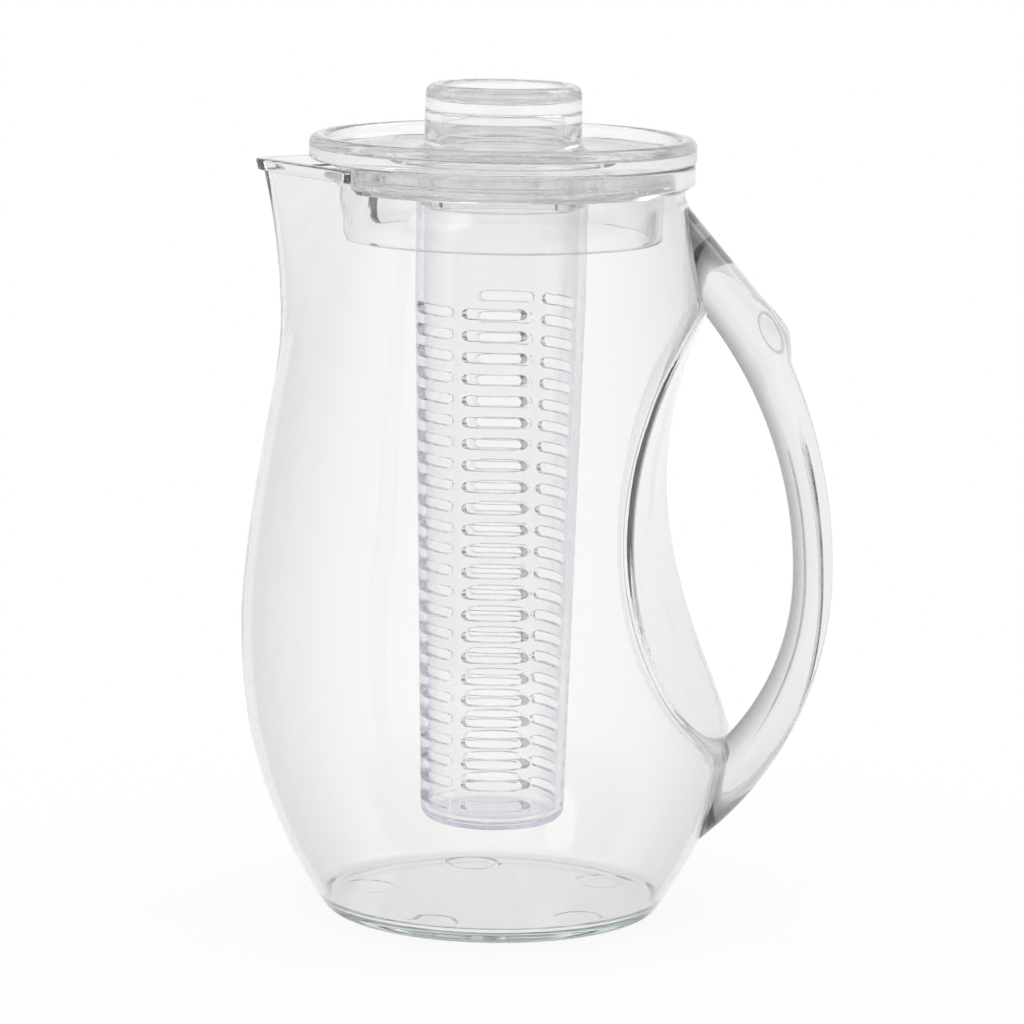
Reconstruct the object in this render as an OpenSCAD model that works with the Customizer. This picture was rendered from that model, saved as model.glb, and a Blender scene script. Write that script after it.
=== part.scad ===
// Fruit infuser pitcher: a clear moulded jug with a pouring spout and a loop handle,
// a lid that turns to open and close the spout, and a slotted tube that hangs from the lid.
// Millimetres, +Z up. The origin is the centre of the underside, the handle points to +X
// and the spout to -X.

/* [Pitcher] */
// Height of the mouth rim above the table
body_h = 235; // [231:0.5:241]
// Outside radius of the flat underside, before its edge is rounded
base_r = 52; // [48:0.5:56]
// Outside radius of the belly
belly_r = 79.5; // [77:0.5:82]
// Height of the widest ring of the belly
belly_z = 93; // [86:1:100]
// Outside radius of the neck
neck_r = 56.5; // [55.5:0.5:58]
// Height at which the shoulder meets the straight neck
neck_z = 225; // [222:0.5:226]
// How far the wall swells out just below the neck
neck_swell = 1.4; // [0:0.1:1.8]
// Wall thickness of the pitcher
wall = 3; // [2.4:0.1:3.4]
// Thickness of the floor
floor_t = 4; // [3:0.1:5]
// Rounding of the edge round the underside
base_round = 3; // [2:0.1:4]

/* [Mouth collar and spout] */
// Outside radius of the collar round the mouth
collar_r = 59.5; // [59:0.1:61]
// Height of the collar
collar_h = 8; // [6.5:0.5:9.5]
// Angle of the gap that the collar leaves for the spout, each side of the spout
collar_gap = 47; // [44:1:52]
// Distance from the axis to the front of the spout at the mouth
spout_reach = 75.5; // [73:0.5:78]
// Height of the mouth rim above the spout's top edge
spout_drop = 1.3; // [0.8:0.1:2]
// Radius of the spout's nose at the mouth
spout_nose_r = 5; // [4.5:0.5:8]
// Height of the lip along the spout's edge
lip_h = 3.5; // [2.5:0.1:5]
// How far the lip stands out
lip_out = 1.8; // [1:0.1:2.4]

/* [Finger hollow] */
// Distance from the axis to the deepest line of the hollow behind the handle
scoop_x = 48.2; // [47:0.2:52]
// Height of that line
scoop_z = 129.5; // [122:0.5:134]
// Radius of the hollow
scoop_r = 118; // [112:1:126]

/* [Handle] */
// Distance from the axis to the outermost point of the handle
handle_reach = 105.2; // [102:0.2:108]
// Height of that point
handle_z = 108; // [104:1:112]
// Thickness of the grip, seen from the side
grip_t = 12.4; // [11:0.2:14]
// Width of the grip, seen from behind
grip_w = 19; // [16:0.5:22]
// Width of the handle where it is bonded to the pitcher
root_w = 24; // [21:0.5:27]
// Radius of the grip's outer edge above its middle
outer_top_r = 161; // [155:1:165]
// Radius of the grip's outer edge below its middle
outer_low_r = 110; // [106:1:114]
// Radius of the grip's inner edge above its middle
inner_top_r = 128; // [124:1:132]
// Radius of the grip's inner edge below its middle
inner_low_r = 77; // [75:1:80]
// Height at which the thumb rest starts above the table
thumb_z = 175; // [172:1:177]
// Height at which the thumb rest ends and the straight upper root starts
root_z = 197.2; // [195:0.2:200]
// Distance from the axis to the start of the straight upper root
root_x = 79.2; // [77:0.2:81]
// Height of the thumb rest's upper shoulder, and its distance from the axis
thumb_top_z = 190.1; // [189:0.1:191]
thumb_top_x = 86.7; // [86:0.1:87.5]

/* [Lid] */
// Radius of the lid's flange
flange_r = 59.8; // [59.4:0.1:60.6]
// Height of the flange's rim above the mouth
rim_h = 7.8; // [6.8:0.1:8.6]
// Width of the raised rim
rim_w = 5.3; // [4.5:0.1:6.6]
// Thickness of the lid's disc
disc_t = 3.2; // [2.6:0.1:4]
// Outside radius of the plug
plug_r = 49.9; // [48.5:0.1:50.3]
// Wall thickness of the plug
plug_wall = 2.8; // [2.4:0.1:3.4]
// Depth of the plug below the mouth rim
plug_h = 24.1; // [23:0.1:27]
// Half the width of the pour opening in the plug
pour_half_w = 18.5; // [16:0.5:21]
// Height of the pour opening
pour_h = 16.5; // [13:0.5:17]
// Rounding of the plug's corners beside the pour opening
pour_round = 4; // [3:0.5:5]

/* [Seal ring] */
// Height of the seal ring
seal_h = 5; // [4:0.1:5.4]
// Thickness of the seal ring's strip
seal_t = 1.7; // [1.3:0.1:2]
// Thickness of each lip of the seal ring
seal_lip_t = 0.9; // [0.7:0.1:1.2]
// Depth of the groove that holds the seal ring
groove_d = 1.2; // [0.8:0.1:1.3]

/* [Knob] */
// Radius of the knob
knob_r = 24.3; // [23:0.1:25.5]
// Height of the knob's top above the mouth rim
knob_h = 23.6; // [21.6:0.1:25]
// Height of the joint between knob and cap above the mouth rim
joint_h = 12.4; // [11.4:0.1:13.6]
// Wall thickness of the knob
knob_wall = 2.8; // [2.2:0.1:3.2]
// Radius of the dish in the knob's top
dish_r = 18.8; // [17:0.1:19.5]
// Depth of the dish
dish_d = 5.4; // [4.6:0.1:6]
// Rounding of the knob's top edge
knob_round = 2.4; // [1.6:0.1:2.8]
// Rounding between the knob and the lid's disc
knob_foot_round = 3; // [2:0.1:4]
// Length of the cap's spigot
spigot_h = 4; // [3:0.1:5]

/* [Infuser tube] */
// Outside radius of the tube's straight top
tube_top_r = 26.5; // [26:0.1:27.5]
// Outside radius of the tube at its bottom
tube_low_r = 22.6; // [21.6:0.1:23.6]
// Wall thickness of the tube
tube_wall = 2.6; // [2.2:0.1:3]
// Height of the tube's bottom above the table
tube_z = 28.3; // [24:0.1:31]
// Height at which the tube starts to taper
taper_z = 195; // [193:0.5:200]
// Rounding of the tube's bottom edge
tube_round = 4; // [3:0.1:5]
// Rows of slots
slot_rows = 24; // [18:1:24]
// Distance between rows
slot_pitch = 6.69; // [6:0.01:6.75]
// Width of a slot
slot_w = 16.2; // [13:0.1:16.8]
// Width of the rib between the two slots of a row
slot_gap = 4; // [3:0.1:5]
// Height of a slot
slot_h = 3; // [2.4:0.1:3.4]
// Height of the lowest row of slots
slot_z = 36.2; // [35.2:0.1:38]
// Direction the slots run through the tube, seen from above
slot_turn = 67; // [60:1:75]

/* [Bayonet lock] */
// Number of lugs
lugs = 3; // [2:1:4]
// Angle that the tube turns between locked and free
twist = 22; // [18:1:26]
// Angle that a lug covers
lug_angle = 9; // [7:1:11]
// Height of a lug
lug_h = 3.2; // [2.6:0.1:4]
// How far a lug stands out of the boss
lug_out = 1.5; // [1.1:0.1:1.7]
// Depth of a lug's middle below the mouth rim
lug_depth = 10.5; // [9:0.5:14]
// Direction of the first lug, seen from above
lug_start = 225; // [215:1:235]

/* [Clearances] */
// Gap between pieces that move against each other
gap = 0.35; // [0.3:0.05:0.45]
// Gap between the spigot of the cap and the knob
spigot_gap = 0.15; // [0.1:0.05:0.25]

/* [Hidden] */

// Facets round a full circle, and round a small one
round_fn = 144;
small_fn = 36;
// Overrun of every cut
over = 1;
// How far blended forms start inside the form that carries them
sink = 0.8;
// Step left where a slot's straight sides meet its round ends
slot_step = 0.02;

// Steps of the curved outlines
foot_steps = 18;
shoulder_steps = 22;
nose_steps = 12;
arc_steps = 7;
// Step of the shoulder at which the spout grows out of it
spout_step = 13;

// How the foot and the shoulder curve: 1 is straight, more is rounder
foot_curve_share = 2.35;
shoulder_curve_share = 1.42;
// How the spout's front curves out and its nose narrows
spout_curve_share = 2.2;
nose_curve_share = 1.6;
// Nose radius where the spout starts, as a share of the shoulder's radius
nose_start_share = 0.86;
// Height of the collar's bevel, as a share of the collar's step
bevel_share = 0.67;
// Roundings of the lid's rim and of the dish, as shares of their heights
rim_round_share = 0.42;
dish_round_share = 0.6;
// Wall of the spigot, as a share of the knob's wall
spigot_wall_share = 0.8;
// How far a lip of the seal hangs, as a share of its thickness
seal_droop_share = 0.8;

// Heights at which the swell below the neck starts and is full
swell_low_z = 165;
swell_z = 217;

// Share of the handle's run, from its middle to its upper tip, at which the thumb rest starts, turns and ends
grip_share = 0.6;
thumb_top_share = 0.7;
thumb_share = 0.78;
// Run of the thumb rest at which the finger pad sits
pad_share = 0.66;
// How far the thumb rest leans in over its height, as a share of the grip's thickness
thumb_lean_share = 0.025;
// How sharply its upper shoulder turns, as a share of its height, and how deep the dip above it is
thumb_rise_share = 0.73;
thumb_dip_share = 0.1;
// Rise of the straight upper root over its run towards the pitcher
root_rise_share = 1.16;
// How late the grip widens towards its roots
root_flare_share = 3;
// Roundness of the handle's section: 2 is an ellipse, more is squarer
section_share = 2.2;
handle_steps = 54;
section_steps = 24;
// Angles at which the grip's edges end, below and above its middle
low_outer_end = -58;
low_inner_end = -55;
top_inner_end = 42;
// Distance from the axis to the handle's upper tip, inside the pitcher's wall
root_tip_x = 54;
root_tip_z = root_z + (root_x - root_tip_x) * root_rise_share;

// Radius and depth of the round pad pressed into the thumb rest
pad_r = 7.5;
pad_d = 0.7;
pad_ball_r = (pad_r * pad_r + pad_d * pad_d) / (2 * pad_d);

// Round marks pressed into the underside: number, radius, depth and direction of the first
marks = 5;
mark_r = 9;
mark_d = 0.5;
mark_start = 34;
mark_circle_r = base_r - mark_r - base_round;

mouth_r = neck_r - wall;
spout_top = body_h - spout_drop;
spout_z = belly_z + (neck_z - belly_z) * spout_step / shoulder_steps;
collar_bevel = (collar_r - neck_r) * bevel_share;
floor_round = base_round + wall;
// Lean of the wall at the underside, and the run of a rounded corner there for a radius of one
foot_lean = atan((belly_r - base_r) * foot_curve_share / belly_z);
corner_share = tan((90 - foot_lean) / 2);

disc_z = body_h + gap;
disc_top = disc_z + disc_t;
rim_top = body_h + rim_h;
rim_outer_round = rim_h * rim_round_share;
rim_inner_round = (rim_top - disc_top) * rim_round_share;
flange_edge_round = rim_inner_round / 2;
plug_z = body_h - plug_h;
groove_top = disc_z - gap * 2;
groove_h = seal_h + gap * 2;
groove_r = plug_r - groove_d;

joint_z = body_h + joint_h;
knob_top = body_h + knob_h;
knob_draft = gap;
dish_round = dish_d * dish_round_share;
spigot_r = knob_r - knob_wall - spigot_gap;
spigot_wall = knob_wall * spigot_wall_share;

tube_in_r = tube_top_r - tube_wall;
tube_top = disc_z - gap;
boss_r = tube_in_r - gap;
boss_wall = tube_wall;
lug_z = body_h - lug_depth;
boss_z = lug_z - lug_h;

scoop_centre_x = scoop_x + scoop_r;
body_span = (belly_r + over) * 2;

outer_top_c = [handle_reach - outer_top_r, handle_z];
outer_low_c = [handle_reach - outer_low_r, handle_z];
inner_top_c = [handle_reach - grip_t - inner_top_r, handle_z];
inner_low_c = [handle_reach - grip_t - inner_low_r, handle_z];
thumb_angle = asin((thumb_z - handle_z) / outer_top_r);
thumb_low = outer_top_c + outer_top_r * [cos(thumb_angle), sin(thumb_angle)];
thumb_bulge = [thumb_low[0] + grip_t * thumb_lean_share, thumb_z + (thumb_top_z - thumb_z) * thumb_rise_share];
thumb_dip = [(thumb_top_x + root_x) / 2 - grip_t * thumb_dip_share, (thumb_top_z + root_z) / 2];

// Points on an arc round c with radius r, from angle a0 to a1
function arc(c, r, a0, a1, steps) =
    [for (i = [0 : steps]) let (a = a0 + (a1 - a0) * i / steps) c + r * [cos(a), sin(a)]];

// 0 below a, 1 above b, with a soft step between
function soft_step(a, b, v) = let (t = min(max((v - a) / (b - a), 0), 1)) t * t * (3 - 2 * t);

// Outside radius of the pitcher at height z
function body_r(z) =
    z < belly_z ? base_r + (belly_r - base_r) * (1 - pow(1 - max(z, 0) / belly_z, foot_curve_share))
    : z < neck_z ? belly_r - (belly_r - neck_r) * pow((z - belly_z) / (neck_z - belly_z), shoulder_curve_share)
        + neck_swell * soft_step(swell_low_z, swell_z, z) * (1 - soft_step(swell_z, neck_z, z))
    : neck_r;

// Upright curve of the wall, set in by a given distance, from height z0 to the neck
function wall_curve(inset, z0) = concat(
    [for (i = [0 : foot_steps]) let (z = z0 + (belly_z - z0) * i / foot_steps) [body_r(z) - inset, z]],
    [for (i = [1 : shoulder_steps]) let (z = belly_z + (neck_z - belly_z) * i / shoulder_steps)
        [body_r(z) - inset, z]]);

// Start of a corner rounded with radius r, where the floor at height z meets the wall set in by a distance
function corner_arc(r, z, inset) =
    arc([body_r(z) - inset - r * corner_share, z + r], r, -90, -foot_lean, arc_steps);

// Share of the spout's height that is reached at height z
function spout_share(z) = (z - spout_z) / (spout_top - spout_z);
function spout_front(z) = let (start = body_r(spout_z) - sink)
    start + (spout_reach - start) * pow(max(spout_share(z), 0), spout_curve_share);
function spout_nose(z) = let (start = body_r(z) * nose_start_share)
    spout_nose_r + (start - spout_nose_r) * pow(max(1 - spout_share(z), 0), nose_curve_share);

// Outline of the spout at height z: a nose whose flanks run tangent to the neck
function spout_outline(z, inset) =
    let (front = spout_front(z), nose = spout_nose(z), neck = body_r(z) - sink,
         half = acos((neck - nose) / (front - nose)), centre = front - nose)
    concat([[-(neck - inset) * cos(half) / 2, (neck - inset) * sin(half) / 2]],
           [(neck - inset) * [-cos(half), sin(half)]],
           [for (i = [0 : nose_steps]) let (a = half - 2 * half * i / nose_steps)
               [-centre, 0] + (nose - inset) * [-cos(a), sin(a)]],
           [(neck - inset) * [-cos(half), -sin(half)]],
           [[-(neck - inset) * cos(half) / 2, -(neck - inset) * sin(half) / 2]]);

// Solid through a stack of rings that have the same number of points
module loft(rings) {
    n = len(rings[0]);
    points = [for (ring = rings) each ring];
    last = (len(rings) - 1) * n;
    sides = [for (k = [0 : len(rings) - 2]) for (i = [0 : n - 1])
        let (a = k * n + i, b = k * n + (i + 1) % n)
        each [[a, b, b + n], [a, b + n, a + n]]];
    low_cap = [[for (i = [0 : n - 1]) n - 1 - i]];
    high_cap = [[for (i = [0 : n - 1]) last + i]];
    polyhedron(points = points, faces = concat(low_cap, sides, high_cap));
}

// Heights of the spout's rings: those of the shoulder, and two above it
function spout_levels(top) = concat(
    [for (i = [spout_step : shoulder_steps]) belly_z + (neck_z - belly_z) * i / shoulder_steps],
    [(neck_z + top) / 2, top]);

module spout_form(inset, top) {
    loft([for (z = spout_levels(top)) [for (p = spout_outline(z, inset)) [p[0], -p[1], z]]]);
}

module body_outside() {
    wall_start = base_round * corner_share * cos(foot_lean);
    rotate_extrude($fn = round_fn)
        polygon(concat([[0, 0]], corner_arc(base_round, 0, 0), wall_curve(0, wall_start),
            [[neck_r, body_h], [0, body_h]]));
}

module body_cavity() {
    wall_start = floor_t + floor_round * corner_share * cos(foot_lean);
    rotate_extrude($fn = round_fn)
        polygon(concat([[0, floor_t]], corner_arc(floor_round, floor_t, wall), wall_curve(wall, wall_start),
            [[mouth_r, body_h + over], [0, body_h + over]]));
}

// Round bar across the pitcher that hollows out the wall behind the handle
module scoop_bar(r) {
    translate([scoop_centre_x, 0, scoop_z])
        rotate([90, 0, 0])
            cylinder(r = r, h = body_span, center = true, $fn = round_fn);
}

module collar() {
    z0 = body_h - collar_h;
    inner = neck_r - wall / 2;
    rotate([0, 0, collar_gap - 180])
        rotate_extrude(angle = 360 - 2 * collar_gap, $fn = round_fn)
            polygon([[inner, z0], [neck_r, z0], [collar_r, z0 + collar_bevel], [collar_r, body_h],
                [inner, body_h]]);
}

module base_marks() {
    for (i = [0 : marks - 1])
        rotate([0, 0, mark_start + 360 * i / marks])
            translate([mark_circle_r, 0, -over])
                cylinder(r = mark_r, h = over + mark_d, $fn = small_fn);
}

module pitcher_body() {
    color([0.93, 0.95, 0.95, 0.35])
    difference() {
        union() {
            difference() {
                body_outside();
                scoop_bar(scoop_r);
            }
            collar();
            spout_form(0, spout_top);
            translate([0, 0, spout_top - lip_h])
                linear_extrude(height = lip_h)
                    polygon(spout_outline(spout_top, -lip_out));
        }
        difference() {
            body_cavity();
            scoop_bar(scoop_r + wall);
        }
        spout_form(wall, body_h + over);
        base_marks();
    }
}

function on_circle(c, r, a) = c + r * [cos(a), sin(a)];
// Point on the curve from a to c that is drawn towards b
function bow(a, b, c, t) = (1 - t) * (1 - t) * a + 2 * t * (1 - t) * b + t * t * c;

// Outer and inner edge of the handle, from the lower root (-1) through the middle (0) to the upper root (1)
function outer_edge(s) =
    s < 0 ? on_circle(outer_low_c, outer_low_r, -low_outer_end * s)
    : s < grip_share ? on_circle(outer_top_c, outer_top_r, thumb_angle * s / grip_share)
    : s < thumb_top_share ? bow(thumb_low, thumb_bulge, [thumb_top_x, thumb_top_z],
                                (s - grip_share) / (thumb_top_share - grip_share))
    : s < thumb_share ? bow([thumb_top_x, thumb_top_z], thumb_dip, [root_x, root_z],
                            (s - thumb_top_share) / (thumb_share - thumb_top_share))
    : [root_x, root_z] + ([root_tip_x, root_tip_z] - [root_x, root_z]) * (s - thumb_share) / (1 - thumb_share);
function inner_edge(s) =
    s < 0 ? on_circle(inner_low_c, inner_low_r, -low_inner_end * s)
    : on_circle(inner_top_c, inner_top_r, top_inner_end * s);
function handle_width(s) = grip_w + (root_w - grip_w) * pow(abs(s), root_flare_share);

// A superellipse's point, as shares of its two half sizes
function squarish(a) = [sign(cos(a)) * pow(abs(cos(a)), 2 / section_share),
                        sign(sin(a)) * pow(abs(sin(a)), 2 / section_share)];

function handle_ring(s) =
    let (outer = outer_edge(s), inner = inner_edge(s), middle = (outer + inner) / 2,
         half = (outer - inner) / 2, half_w = handle_width(s) / 2)
    [for (i = [0 : section_steps - 1])
        let (q = squarish(360 * i / section_steps), p = middle + half * q[0])
        [p[0], half_w * q[1], p[1]]];

module handle() {
    pad = outer_edge(pad_share);
    pad_lean = pad - outer_edge(thumb_share);
    pad_out = [-pad_lean[1], pad_lean[0]] / norm(pad_lean);
    pad_c = pad + pad_out * (pad_ball_r - pad_d);
    color([0.9, 0.92, 0.93, 0.35])
    difference() {
        loft([for (k = [0 : handle_steps]) handle_ring(-1 + 2 * k / handle_steps)]);
        difference() {
            body_outside();
            scoop_bar(scoop_r);
        }
        translate([pad_c[0], 0, pad_c[1]])
            sphere(r = pad_ball_r, $fn = round_fn);
    }
}

// Cut through the plug, seen from the spout, with rounded corners at its lower end
module pour_cut() {
    flare = pour_round;
    outline = concat(
        [[-pour_half_w, pour_h], [-pour_half_w, flare]],
        arc([-pour_half_w - flare, flare], flare, 0, -90, arc_steps),
        [[-pour_half_w - flare, -over], [pour_half_w + flare, -over]],
        arc([pour_half_w + flare, flare], flare, -90, -180, arc_steps),
        [[pour_half_w, pour_h]]);
    translate([0, 0, plug_z])
        rotate([90, 0, -90])
            linear_extrude(height = plug_r + over)
                polygon(outline);
}

module lid_disc() {
    inner = flange_r - rim_w;
    rotate_extrude($fn = round_fn)
        polygon(concat([[0, disc_z]],
            arc([flange_r - flange_edge_round, disc_z + flange_edge_round], flange_edge_round, -90, 0, arc_steps),
            arc([flange_r - rim_outer_round, rim_top - rim_outer_round], rim_outer_round, 0, 90, arc_steps),
            arc([inner + rim_inner_round, rim_top - rim_inner_round], rim_inner_round, 90, 180, arc_steps),
            arc([inner - rim_inner_round, disc_top + rim_inner_round], rim_inner_round, 0, -90, arc_steps),
            [[0, disc_top]]));
}

module lid_plug() {
    inner = plug_r - plug_wall;
    rotate_extrude($fn = round_fn)
        polygon([[inner, plug_z], [plug_r, plug_z], [plug_r, groove_top - groove_h],
            [groove_r, groove_top - groove_h], [groove_r, groove_top], [plug_r, groove_top],
            [plug_r, disc_z + sink], [inner, disc_z + sink]]);
}

module lid_boss() {
    inner = boss_r - boss_wall;
    rotate_extrude($fn = round_fn)
        polygon([[inner, boss_z], [boss_r, boss_z], [boss_r, disc_z + sink], [inner, disc_z + sink]]);
}

module lid_lugs() {
    for (i = [0 : lugs - 1])
        rotate([0, 0, lug_start - lug_angle / 2 + 360 * i / lugs])
            rotate_extrude(angle = lug_angle, $fn = round_fn)
                translate([boss_r - boss_wall / 2, lug_z - lug_h / 2])
                    square([boss_wall / 2 + lug_out, lug_h]);
}

module knob_wall_ring() {
    inner = knob_r - knob_wall;
    rotate_extrude($fn = round_fn)
        polygon(concat(
            [[inner, disc_top - sink], [knob_r + knob_foot_round, disc_top - sink]],
            arc([knob_r + knob_foot_round, disc_top + knob_foot_round], knob_foot_round, -90, -180, arc_steps),
            [[knob_r, joint_z], [inner, joint_z]]));
}

module lid() {
    color([0.92, 0.94, 0.95, 0.4])
    difference() {
        union() {
            lid_disc();
            lid_plug();
            lid_boss();
            lid_lugs();
            knob_wall_ring();
        }
        difference() {
            pour_cut();
            translate([0, 0, plug_z - over])
                cylinder(r = boss_r + lug_out + over, h = plug_h + over, $fn = round_fn);
        }
    }
}

module knob_cap() {
    top_r = knob_r - knob_draft;
    inner = spigot_r - spigot_wall;
    dish_z = knob_top - dish_d;
    roof_z = dish_z - knob_wall;
    color([0.92, 0.94, 0.95, 0.4])
    rotate_extrude($fn = round_fn)
        polygon(concat(
            [[0, roof_z], [inner, roof_z], [inner, joint_z - spigot_h],
             [spigot_r, joint_z - spigot_h], [spigot_r, joint_z], [knob_r, joint_z]],
            arc([top_r - knob_round, knob_top - knob_round], knob_round, 0, 90, arc_steps),
            [[dish_r, knob_top]],
            arc([dish_r - dish_round, dish_z + dish_round], dish_round, 0, -90, arc_steps),
            [[0, dish_z]]));
}

module lid_seal() {
    inner = groove_r + gap;
    outer = mouth_r - gap;
    strip = inner + seal_t;
    z0 = groove_top - gap - seal_h;
    z1 = z0 + seal_h;
    droop = seal_lip_t * seal_droop_share;
    color([0.95, 0.96, 0.96, 0.55])
    rotate_extrude($fn = round_fn)
        polygon([[inner, z0], [strip, z0], [outer, z0 + droop], [outer, z0 + droop + seal_lip_t],
            [strip, z0 + seal_lip_t * 2], [strip, z1 - seal_lip_t], [outer, z1 - seal_lip_t],
            [outer, z1], [inner, z1]]);
}

module slot_outline() {
    r = slot_h / 2;
    square([slot_w - slot_h, slot_h - slot_step], center = true);
    for (side = [-1, 1])
        translate([side * (slot_w / 2 - r), 0])
            circle(r = r, $fn = small_fn);
}

// Slots of one row: two straight cuts that run right through the tube
module slot_row(z) {
    for (side = [-1, 1])
        rotate([0, 0, slot_turn])
            translate([0, side * (slot_w + slot_gap) / 2, z])
                rotate([90, 0, 90])
                    linear_extrude(height = (tube_top_r + over) * 2, center = true)
                        slot_outline();
}

// Grooves of the bayonet inside the tube: a run for each lug and a way in from the tube's top
module bayonet_grooves() {
    run_h = lug_h + gap * 2;
    run_z = lug_z - run_h / 2;
    side = atan(gap / tube_in_r) * 2;
    leg = lug_angle + side * 2;
    for (i = [0 : lugs - 1])
        rotate([0, 0, lug_start + 360 * i / lugs - twist - leg / 2]) {
            rotate_extrude(angle = twist + leg, $fn = round_fn)
                translate([tube_in_r - over, run_z])
                    square([over + lug_out, run_h]);
            rotate_extrude(angle = leg, $fn = round_fn)
                translate([tube_in_r - over, run_z])
                    square([over + lug_out, tube_top + over - run_z]);
        }
}

module infuser_tube() {
    inner_round = tube_round - tube_wall / 2;
    low_in_r = tube_low_r - tube_wall;
    color([0.86, 0.86, 0.94, 0.4])
    difference() {
        rotate_extrude($fn = round_fn)
            polygon(concat([[0, tube_z]],
                arc([tube_low_r - tube_round, tube_z + tube_round], tube_round, -90, 0, arc_steps),
                [[tube_top_r, taper_z], [tube_top_r, tube_top], [tube_in_r, tube_top], [tube_in_r, taper_z]],
                arc([low_in_r - inner_round, tube_z + tube_wall + inner_round], inner_round, 0, -90, arc_steps),
                [[0, tube_z + tube_wall]]));
        for (k = [0 : slot_rows - 1])
            slot_row(slot_z + slot_pitch * k);
        bayonet_grooves();
    }
}

pitcher_body();
handle();
lid();
knob_cap();
lid_seal();
infuser_tube();
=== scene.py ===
import math
import bpy
import numpy as np
from mathutils import Matrix, Vector


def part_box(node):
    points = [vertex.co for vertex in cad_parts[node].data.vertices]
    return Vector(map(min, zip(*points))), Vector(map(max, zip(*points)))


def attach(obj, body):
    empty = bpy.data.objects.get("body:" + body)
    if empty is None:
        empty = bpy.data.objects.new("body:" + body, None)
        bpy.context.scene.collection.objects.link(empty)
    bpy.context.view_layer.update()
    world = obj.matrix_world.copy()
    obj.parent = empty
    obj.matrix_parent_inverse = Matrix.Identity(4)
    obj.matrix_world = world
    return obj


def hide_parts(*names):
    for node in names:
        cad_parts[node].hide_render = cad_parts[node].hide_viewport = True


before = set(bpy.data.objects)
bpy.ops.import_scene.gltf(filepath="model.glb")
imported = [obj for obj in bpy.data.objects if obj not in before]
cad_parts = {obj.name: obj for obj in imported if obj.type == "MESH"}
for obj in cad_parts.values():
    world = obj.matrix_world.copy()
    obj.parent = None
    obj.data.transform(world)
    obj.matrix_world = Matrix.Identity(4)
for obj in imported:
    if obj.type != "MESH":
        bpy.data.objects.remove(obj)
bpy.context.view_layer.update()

# Sizes in millimetres, in the frame's axes: +Z up, the handle towards +X, the spout towards -X
MM = 0.001
BODY_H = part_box("pitcher_body")[1].z / MM
WALL = 3.0
BASE_R = 52.0
BELLY_R = 79.5
BELLY_Z = 93.0
NECK_R = 56.5
NECK_Z = 225.0
FOOT_CURVE = 2.35
SHOULDER_CURVE = 1.42
BASE_ROUND = 3.0
FLOOR_T = 4.0
RIM_ROUND = 0.7
COLLAR_R = 59.5
COLLAR_H = 8.0
COLLAR_BEVEL = 2.0
COLLAR_GAP = 47.0
SPOUT_DROP = 1.3
SPOUT_Z = 171.0
SPOUT_REACH = 75.5
SPOUT_NOSE = 5.0
NOSE_START = 0.86
SPOUT_CURVE = 2.2
NOSE_CURVE = 1.6
SPOUT_SUNK = 0.8
SPOUT_BEND = 1.6
SPOUT_FADE_Z = 115.0
SPOUT_FULL_Z = 150.0
SPOUT_SPREAD = 60.0
LIP_H = 3.5
LIP_OUT = 1.75
LIP_TURN = 45.0
SCOOP_X = 48.2
SCOOP_Z = 129.5
SCOOP_R = 118.0
SCOOP_ROUND = 4.0
SCOOP_MARGIN = 12.0
SCOOP_MIN_COS = 0.2
NECK_SWELL = 1.4
SWELL_LOW_Z = 165.0
SWELL_Z = 217.0
MARKS = 5
MARK_R = 9.0
MARK_D = 0.5
MARK_START = 34.0
MARK_CIRCLE = BASE_R - MARK_R - BASE_ROUND
CRISP_MARK = 1
WORN_SHARE = 0.12

HANDLE_REACH = 105.2
HANDLE_Z = 108.0
GRIP_T = 12.4
GRIP_W = 19.0
ROOT_W = 24.0
OUTER_TOP_R = 161.0
OUTER_LOW_R = 110.0
INNER_TOP_R = 128.0
INNER_LOW_R = 77.0
THUMB_Z = 175.0
THUMB_TOP_X = 86.7
THUMB_TOP_Z = 190.1
ROOT_X = 79.2
ROOT_Z = 197.2
ROOT_TIP_X = 54.0
ROOT_RISE = 1.16
GRIP_SHARE = 0.6
THUMB_TOP_SHARE = 0.7
THUMB_SHARE = 0.78
LOW_OUTER_END = -58.0
LOW_INNER_END = -55.0
TOP_INNER_END = 42.0
PAD_SHARE = 0.66
PAD_R = 7.5
PAD_D = 0.7
SEAM_SHARE = 0.36
SEAM_W = 0.5
SEAM_LOW_Z = 50.0
SEAM_HIGH_Z = 158.0
OVAL_WEIGHT = 0.8
# Painted shade in the seam and oval lines of the handle
LINE_PAINTED_SHADE = 0.65
OVAL_X = 84.5
OVAL_Z = 185.2
OVAL_LONG = 6.5
OVAL_SHORT = 2.4
OVAL_LEAN = 29.0

GAP = 0.35
FLANGE_R = 59.8
RIM_H = 7.8
RIM_W = 5.3
RIM_SOFT = 0.42
DISC_T = 3.2
PLUG_R = 49.9
PLUG_WALL = 2.8
PLUG_H = 24.1
POUR_HALF_W = 18.5
POUR_H = 16.5
POUR_ROUND = 4.0
POUR_SPREAD = 42.0
SEAL_H = 5.0
SEAL_T = 1.7
SEAL_LIP = 0.9
GROOVE_D = 1.2
KNOB_R = 24.3
KNOB_H = 23.6
JOINT_H = 12.4
KNOB_WALL = 2.8
DISH_R = 18.8
DISH_D = 5.4
KNOB_ROUND = 2.4
KNOB_FOOT = 3.0
SPIGOT_H = 4.0
SPIGOT_GAP = 0.15
SPIGOT_WALL = 2.24

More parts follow.
